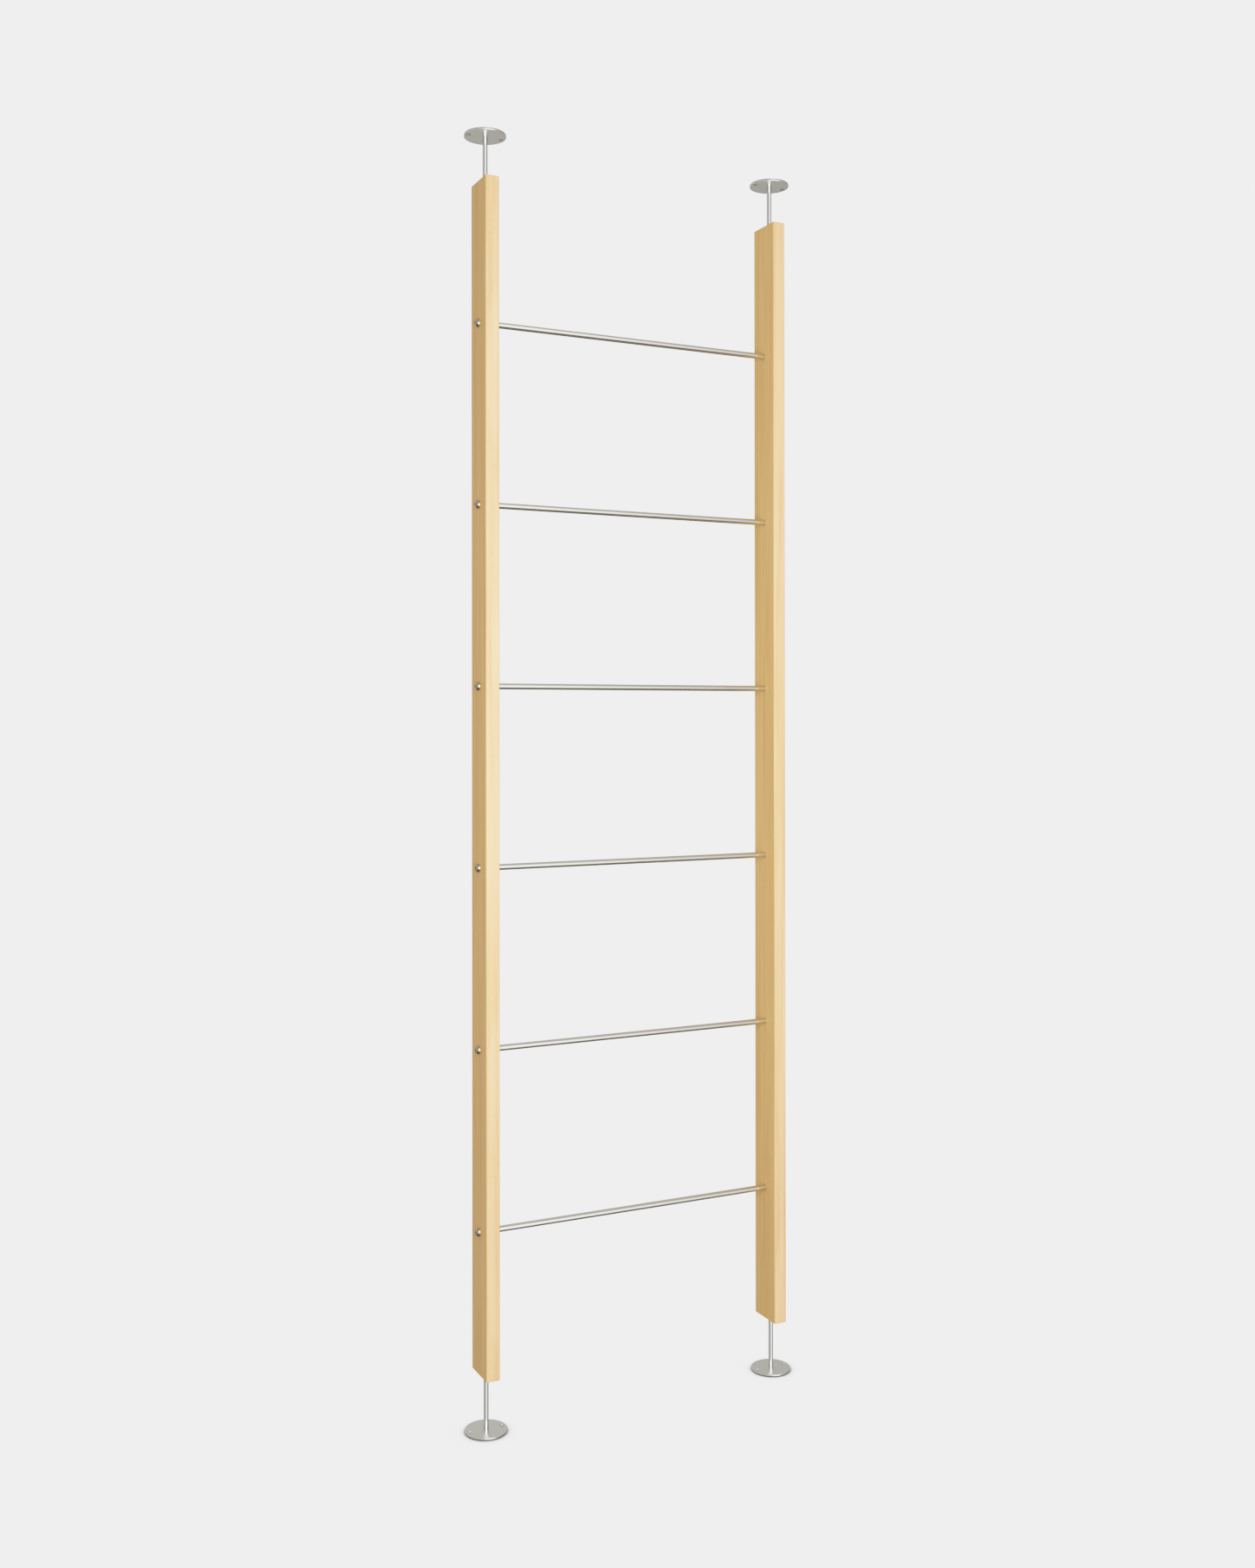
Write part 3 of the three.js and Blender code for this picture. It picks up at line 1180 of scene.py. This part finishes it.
@dataclass
class JackFoot:
    """The foot's parts, each drawn once about +Z, which points out of the post."""

    rod_radius: float = 5 * MM
    rod_root: float = 4.08 * MM
    rod_length: float = 220 * MM
    rod_plain: float = 112 * MM
    pitch: float = 1.5 * MM
    tommy_radius: float = 2 * MM
    tommy_height: float = 20 * MM
    rod_turn: float = -25.0  # degrees about +Z in the room: where the tommy hole stops
    screw_radius: float = 2.5 * MM
    screw_head: float = 4.8 * MM
    screw_length: float = 14 * MM
    disc_radius: float = 41 * MM
    disc_thickness: float = 3 * MM
    pad_radius: float = 40.5 * MM
    pad_thickness: float = 1.2 * MM
    fixing: float = 33.5 * MM
    fixing_through: float = 3.2 * MM
    fixing_sink: float = 6 * MM
    pad_hole: float = 4 * MM
    sleeve_radius: float = 8 * MM
    sleeve_bore: float = 5.3 * MM
    bush_length: float = 28 * MM
    insert_length: float = 30 * MM
    insert_pitch: float = 3 * MM
    thread_gap: float = 0.16 * MM
    swivel_pitch: float = 0.8 * MM
    swivel_root: float = 2 * MM
    swivel_hole: float = 2.9 * MM
    swivel_sink: float = 5.4 * MM
    socket: float = 1.73 * MM
    socket_depth: float = 1.6 * MM

    def rod(self, threads: ThreadGraph, finish: bpy.types.Material) -> Solid:
        """The rod below height 0: plain, then threaded, with the tommy bar's hole near its top.

        Args:
            threads: The tree that winds threads.
            finish: The rod's material.

        Returns:
            The rod.
        """
        segments = 32
        start, end = -self.rod_length + 1.2 * MM, -self.rod_plain
        root = self.rod_root
        tip = [(0.0, -self.rod_length), (root - 0.8 * MM, -self.rod_length), (root, start)]
        face = 0.25 * MM  # all but touches the disc
        top = [(self.rod_radius, end, 0.0), (self.rod_radius, face, 0.15 * MM), (0.0, face, 0.0)]
        host = Solid.lathe(tip, segments).joined(Solid.lathe(eased(top), segments))
        thread = Thread(self.rod_radius, root, self.pitch, start, end, segments, 6)
        rod = thread.on(threads, host, finish)
        bore = self.screw_radius + 0.3 * MM
        deep = -self.screw_length - bore * 0.6
        tap = [(0.0, deep), (bore, -self.screw_length), (bore, -0.4 * MM)]
        tap += [(bore + 1.0 * MM, 0.6 * MM), (0.0, 0.6 * MM)]
        return rod.cut(Solid.lathe(tap, 24)).cut(self.tommy_tool())

    def tommy_tool(self) -> Solid:
        """Draws the tool for the hole across the rod.

        Returns:
            The tool, with a flare where it meets each side.
        """
        r, reach = self.tommy_radius, self.rod_radius
        flare = 0.3 * MM
        outline = [
            (0.0, -reach - 1 * MM),
            (r + flare + 1 * MM, -reach - 1 * MM),
            (r, -reach + flare),
            (r, reach - flare),
            (r + flare + 1 * MM, reach + 1 * MM),
            (0.0, reach + 1 * MM),
        ]
        across = Matrix.Rotation(math.pi / 2, 4, "Y")
        place = Matrix.Translation((0.0, 0.0, -self.tommy_height))
        return Solid.lathe(outline, 24).placed(place @ across)

    def fixing_holes(self, tool: Solid) -> list[Solid]:
        """A tool at each of the two fixing holes."""
        return [tool.placed(Matrix.Translation((s * self.fixing, 0.0, 0.0))) for s in (-1, 1)]

    def disc(self) -> Solid:
        """Draws the disc.

        Returns:
            The disc above height 0, its fixing holes sunk from below and the swivel's from above.
        """
        r, t = self.disc_radius, self.disc_thickness
        corners = [(0.0, 0.0, 0.0), (r, 0.0, 0.6 * MM), (r, t, 0.4 * MM), (0.0, t, 0.0)]
        blank = Solid.lathe(eased(corners), 128)
        over = 0.5 * MM
        through, sink = self.fixing_through, self.fixing_sink
        fixing = [(0.0, -over), (sink + over, -over), (through, sink - through)]
        fixing += [(through, t + over), (0.0, t + over)]
        hole, wide = self.swivel_hole, self.swivel_sink
        swivel = [(0.0, -over), (hole, -over), (hole, t - (wide - hole)), (wide + over, t + over)]
        tools = self.fixing_holes(Solid.lathe(fixing, 40))
        return blank.cut(*tools, Solid.lathe([*swivel, (0.0, t + over)], 40))

    def pad(self) -> Solid:
        """Draws the rubber pad.

        Returns:
            The pad above height 0.
        """
        r, t, ease = self.pad_radius, self.pad_thickness, 0.2 * MM
        corners = [(0.0, 0.0, 0.0), (r, 0.0, ease), (r, t, ease), (0.0, t, 0.0)]
        wall = [(self.pad_hole, -ease), (self.pad_hole, t + ease)]
        hole = Solid.lathe([(0.0, -ease), *wall, (0.0, t + ease)], 32)
        return Solid.lathe(eased(corners), 96).cut(*self.fixing_holes(hole))

    def swivel_screw(self, threads: ThreadGraph, finish: bpy.types.Material) -> Solid:
        """The countersunk screw under the disc's middle, down from its head's flat at height 0.

        Args:
            threads: The tree that winds threads.
            finish: The screw's material.

        Returns:
            The screw.
        """
        segments, root = 24, self.swivel_root
        start, end = -self.screw_length + 0.5 * MM, -4.5 * MM
        tip = [(0.0, -self.screw_length), (root - 0.4 * MM, -self.screw_length), (root, start)]
        cone = self.screw_head - self.screw_radius
        top = [
            (self.screw_radius, end, 0.0),
            (self.screw_radius, -cone - 0.2 * MM, 0.0),
            (self.screw_head, -0.2 * MM, 0.12 * MM),
            (self.screw_head, 0.0, 0.1 * MM),
            (0.0, 0.0, 0.0),
        ]
        host = Solid.lathe(tip, segments).joined(Solid.lathe(eased(top), segments))
        thread = Thread(self.screw_radius, root, self.swivel_pitch, start, end, segments, 5)
        hollow = hexagon(self.socket, self.socket_depth, 0.0)
        return thread.on(threads, host, finish).cut(hollow)

    def bush(self) -> Solid:
        """Draws the nylon bush.

        Returns:
            The bush, down from just inside the post's end.
        """
        ease, top = 0.5 * MM, -0.3 * MM
        low, inner, outer = top - self.bush_length, self.sleeve_bore, self.sleeve_radius
        corners = [(inner, low, ease), (outer, low, ease), (outer, top, ease), (inner, top, ease)]
        return Solid.lathe(eased(corners), 48, looped=True)

    def insert(self, depth: float, threads: ThreadGraph, finish: bpy.types.Material) -> Solid:
        """The brass nut, threaded outside for the wood and inside for the rod.

        Args:
            depth: From the post's end to the nut.
            threads: The tree that winds threads.
            finish: The nut's material.

        Returns:
            The nut, with its inner thread clear of the rod's by a tenth of a millimetre or so.
        """
        segments, clear = 32, self.thread_gap
        low, high = -depth - self.insert_length, -depth
        inner, outer = self.rod_root + clear, self.sleeve_radius
        wide, ease = self.rod_radius + clear, 0.8 * MM
        root = outer - 0.9 * MM
        bottom = [(inner, low + ease), (wide, low), (root - 0.5 * MM, low), (root, low + ease)]
        top = [(outer, high - ease), (outer - 0.4 * MM, high), (wide, high), (wide, high - ease)]
        host = Solid.lathe(bottom, segments).joined(Solid.lathe(top, segments))
        band = (low + ease, high - ease)
        outer_thread = Thread(outer, root, self.insert_pitch, *band, segments, 8)
        host = outer_thread.on(threads, host, finish)
        inner_thread = Thread(wide, inner, self.pitch, *band, segments, 6, True)
        return inner_thread.on(threads, host, finish)

    def build(self, threads: ThreadGraph) -> None:
        """Makes every foot's pieces and hands them over.

        Args:
            threads: The tree that winds threads.
        """
        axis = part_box("foot_rod_upper_right")
        reach = (axis[0].x + axis[1].x) / 2
        rod_finish = Metal("ground_rod", (0.64, 0.64, 0.63), 0.15, Marks.ROUND_Z).material()
        disc_finish = Metal(
            "turned_disc", (0.75, 0.74, 0.68), 0.34, Marks.FACED, reach, 0.22
        ).material()
        screw_finish = Metal("zinc_screw", (0.66, 0.675, 0.69), 0.33, Marks.DULL).material()
        brass = Metal("machined_brass", (0.78, 0.58, 0.27), 0.30, Marks.ROUND_Z).material()
        nylon = Moulding("natural_nylon", (0.80, 0.77, 0.70), 0.52).material()
        rubber = Moulding("sheet_rubber", (0.009, 0.009, 0.009), 0.75, 900.0).material()

        drawn = {
            "rod": (self.rod(threads, rod_finish), rod_finish),
            "countersunk_screw": (self.swivel_screw(threads, screw_finish), screw_finish),
            "disc": (self.disc(), disc_finish),
            "pad": (self.pad(), rubber),
            "bush": (self.bush(), nylon),
        }
        for place in Place:
            name = place.value
            tip, mouth = place.end(f"foot_rod_{name}"), place.end(place.post)
            flip = Matrix.Rotation(math.pi if place.lower else 0.0, 4, "X")
            turn = math.radians(self.rod_turn) * (-1 if place.lower else 1)
            turned = flip @ Matrix.Rotation(turn, 4, "Z")
            at_mouth = Matrix.Translation(mouth) @ flip
            at_screw = Matrix.Translation(place.end(f"swivel_screw_{name}")) @ turned
            at_disc = Matrix.Translation(place.end(f"foot_disc_{name}", False)) @ flip
            at_pad = Matrix.Translation(place.end(f"foot_pad_{name}", False)) @ flip
            moved = {
                "rod": (Matrix.Translation(tip) @ turned, "rod", "polished_rod", "foot_rod"),
                "countersunk_screw": (at_screw, "rod", "plated_screw", "swivel_screw"),
                "disc": (at_disc, "disc", "satin_disc", "foot_disc"),
                "pad": (at_pad, "disc", "rubber_pad", "foot_pad"),
                "bush": (at_mouth, None, "nylon_bush", "guide_bush"),
            }
            for part, (matrix, body, slot, node) in moved.items():
                solid, finish = drawn[part]
                piece = solid.placed(matrix).piece(f"{part}_{name}", finish)
                dressed(piece, f"{name}_{body}" if body else LADDER, slot, [f"{node}_{name}"])
            node = f"thread_insert_{name}"
            out = abs(tip.z - mouth.z)
            in_step = Matrix.Rotation(turn - 2 * math.pi * out / self.pitch, 4, "Z")
            insert = self.insert(abs(place.end(node).z - mouth.z), threads, brass)
            piece = insert.placed(at_mouth @ in_step).piece(f"insert_{name}", brass)
            dressed(piece, LADDER, "brass_insert", [node])


# ---- Studio ----


@dataclass
class Studio:
    """A pale studio: a floor and backdrop of one tone, a broad soft light, and the camera."""

    pale: float = 0.8632  # the backdrop as it comes out
    shoulder: float = 2.2  # how suddenly bright light levels off
    white: float = 4.0  # the brightest light that the tone curve tells apart
    reach: float = 30.0
    sky: Colour = (0.69, 0.69, 0.675)
    ground: Colour = (0.19, 0.185, 0.17)
    glow: float = 2.4  # how much brighter than the rest the strip in front is
    strip_bearing: float = 4.0  # degrees to the right of straight in front
    strip_width: tuple[float, float] = (30.0, 13.0)  # degrees from its middle to where it fades
    right_dimmed: float = 0.3
    box_place: tuple[float, float, float] = (-0.7, -1.9, 1.4)
    box_size: tuple[float, float] = (1.4, 1.4)
    box_power: float = 54.0
    contact: float = 0.04  # how far from a foot the floor's painted contact shadow reaches
    contact_shadow_tone: Colour = (0.08, 0.08, 0.075)
    camera_place: tuple[float, float, float] = (-1.3846, -2.7880, 1.3742)
    yaw: float = 26.165
    pitch: float = 0.19
    roll: float = -0.065
    lens: float = 35.36
    shift: float = -0.0456

    def levelled(self, light: float) -> float:
        """What a light's strength comes out as: the same when dim, levelling off below 1."""
        return light / (1.0 + light**self.shoulder) ** (1.0 / self.shoulder)

    @property
    def pale_light(self) -> float:
        """The strength that comes out as the backdrop's tone."""
        return self.pale / (1.0 - self.pale**self.shoulder) ** (1.0 / self.shoulder)

    def tone_curve(self) -> None:
        """Sets the scene's tone curve, so that bright faces keep their grain."""
        view = bpy.context.scene.view_settings
        view.view_transform = "Standard"
        view.use_curve_mapping = True
        mapping = view.curve_mapping
        mapping.white_level = (self.white,) * 3
        curve = mapping.curves[3]
        curve.points[-1].location = (1.0, self.levelled(self.white))
        for k in range(1, 16):
            share = (k / 16) ** 1.6
            curve.points.new(share, self.levelled(share * self.white))
        mapping.update()

    def backdrop(self) -> None:
        """A great dome of the pale tone, which only the camera sees."""
        made = bmesh.new()
        bmesh.ops.create_icosphere(made, subdivisions=5, radius=self.reach)
        dome = linked_object("backdrop", Solid.from_bmesh(made).mesh)
        graph = ShaderGraph("backdrop_tone")
        tone = {"Color": (1.0, 1.0, 1.0, 1.0), "Strength": self.pale_light}
        graph.node_output(graph.node("ShaderNodeEmission", None, tone))
        dome.data.materials.append(graph.material)
        self.camera_only(dome)

    def floor(self) -> None:
        """A floor of the same tone, with a painted contact shadow only where a foot stands on it,
        and clear from below.
        """
        turns = [2 * math.pi * k / 96 for k in range(96)]
        under = -0.2 * MM  # just clear of the pads
        rim = [Vector((self.reach * math.cos(t), self.reach * math.sin(t), under)) for t in turns]
        made = bmesh.new()
        made.faces.new([made.verts.new(point) for point in rim])
        floor = linked_object("floor", Solid.from_bmesh(made).mesh)
        graph = ShaderGraph("floor_tone_painted_shadow")
        # painted shadow: ambient occlusion darkens the floor's glow near each foot, standing in for
        # the contact shadow
        near = {"Distance": self.contact, "Color": (1.0, 1.0, 1.0, 1.0)}
        open_sky = graph.node("ShaderNodeAmbientOcclusion", {"samples": 12}, near, "AO")
        shade = graph.mix((open_sky**3.0).clamped(), self.contact_shadow_tone, (1.0, 1.0, 1.0))
        lit = graph.node("ShaderNodeEmission", None, {"Color": shade, "Strength": self.pale_light})
        below = graph.node("ShaderNodeNewGeometry", output="Backfacing")
        clear = graph.node("ShaderNodeBsdfTransparent")
        graph.node_output(graph.node("ShaderNodeMixShader", None, {0: below, 1: lit, 2: clear}))
        floor.data.materials.append(graph.material)
        self.camera_only(floor)

    def camera_only(self, made: bpy.types.Object) -> None:
        """Marks an object as part of the stage, seen by the camera and by nothing else."""
        for kind in ("diffuse", "glossy", "transmission", "volume_scatter", "shadow"):
            setattr(made, f"visible_{kind}", False)

    def world(self) -> None:
        """Soft light from all round: brighter above, darker below."""
        world = bpy.data.worlds.new("studio")
        bpy.context.scene.world = world
        world.use_nodes = True
        world.node_tree.nodes.clear()
        graph = NodeGraph(world.node_tree)
        direction = graph.node("ShaderNodeTexCoord", output="Generated")
        height = graph.parts(direction)[2].step(-0.75, -0.30)
        colours = {0: height, 6: (*self.ground, 1.0), 7: (*self.sky, 1.0)}
        colour = graph.node("ShaderNodeMix", {"data_type": "RGBA"}, colours, 2)
        x, y, z = graph.parts(direction)
        bearing = math.radians(self.strip_bearing)
        ahead = (x * math.sin(bearing) - y * math.cos(bearing)) / (x * x + y * y + 1e-6) ** 0.5
        outer, inner = (math.cos(math.radians(angle)) for angle in self.strip_width)
        strip = ahead.step(outer, inner) * z.step(-0.85, -0.45) * (1.0 - z.step(0.45, 0.8))
        strength = 1.0 + strip * self.glow - x.step(0.15, 0.85) * self.right_dimmed
        light = graph.node("ShaderNodeBackground", None, {"Color": colour, "Strength": strength})
        output = world.node_tree.nodes.new("ShaderNodeOutputWorld")
        world.node_tree.links.new(light.socket, output.inputs["Surface"])

    def softbox(self, name: str, place: Colour, size: tuple[float, float], power: float) -> None:
        """A soft rectangular light that faces the ladder's middle.

        Args:
            name: Its name.
            place: Where it stands.
            size: Its width and height.
            power: Its power in watts.
        """
        light = bpy.data.lights.new(name, "AREA")
        light.shape = "RECTANGLE"
        light.size, light.size_y = size
        light.energy = power
        lamp = bpy.data.objects.new(name, light)
        bpy.context.scene.collection.objects.link(lamp)
        lamp.location = place
        aim = Vector((0.0, 0.0, place[2])) - lamp.location
        lamp.rotation_euler = aim.to_track_quat("-Z", "Y").to_euler()
        lamp.visible_camera = False

    def camera(self) -> None:
        """The camera, level with the ladder's upper half and off to its left."""
        data = bpy.data.cameras.new("camera")
        data.lens = self.lens
        data.sensor_width = 36.0
        data.shift_y = self.shift
        data.clip_end = 100.0
        camera = bpy.data.objects.new("camera", data)
        bpy.context.scene.collection.objects.link(camera)
        level = Matrix.Rotation(math.radians(-self.yaw), 4, "Z")
        tilt = Matrix.Rotation(math.radians(90.0 + self.pitch), 4, "X")
        roll = Matrix.Rotation(math.radians(self.roll), 4, "Z")
        camera.matrix_world = Matrix.Translation(self.camera_place) @ level @ tilt @ roll
        bpy.context.scene.camera = camera

    def build(self) -> None:
        """Sets the whole studio up."""
        self.tone_curve()
        self.camera()
        self.world()
        self.softbox("front_softbox", self.box_place, self.box_size, self.box_power)
        self.backdrop()
        self.floor()


def main() -> None:
    """Builds the ladder and its studio in order."""
    logging.basicConfig(level=logging.INFO, format="%(message)s")
    threads, ladder = ThreadGraph(), LadderGraph()
    rungs = Rungs()
    Posts().build(rungs)
    rungs.build(ladder)
    RungScrews().build(rungs, threads, ladder)
    JackFoot().build(threads)
    Studio().build()


if __name__ == "__main__":
    main()
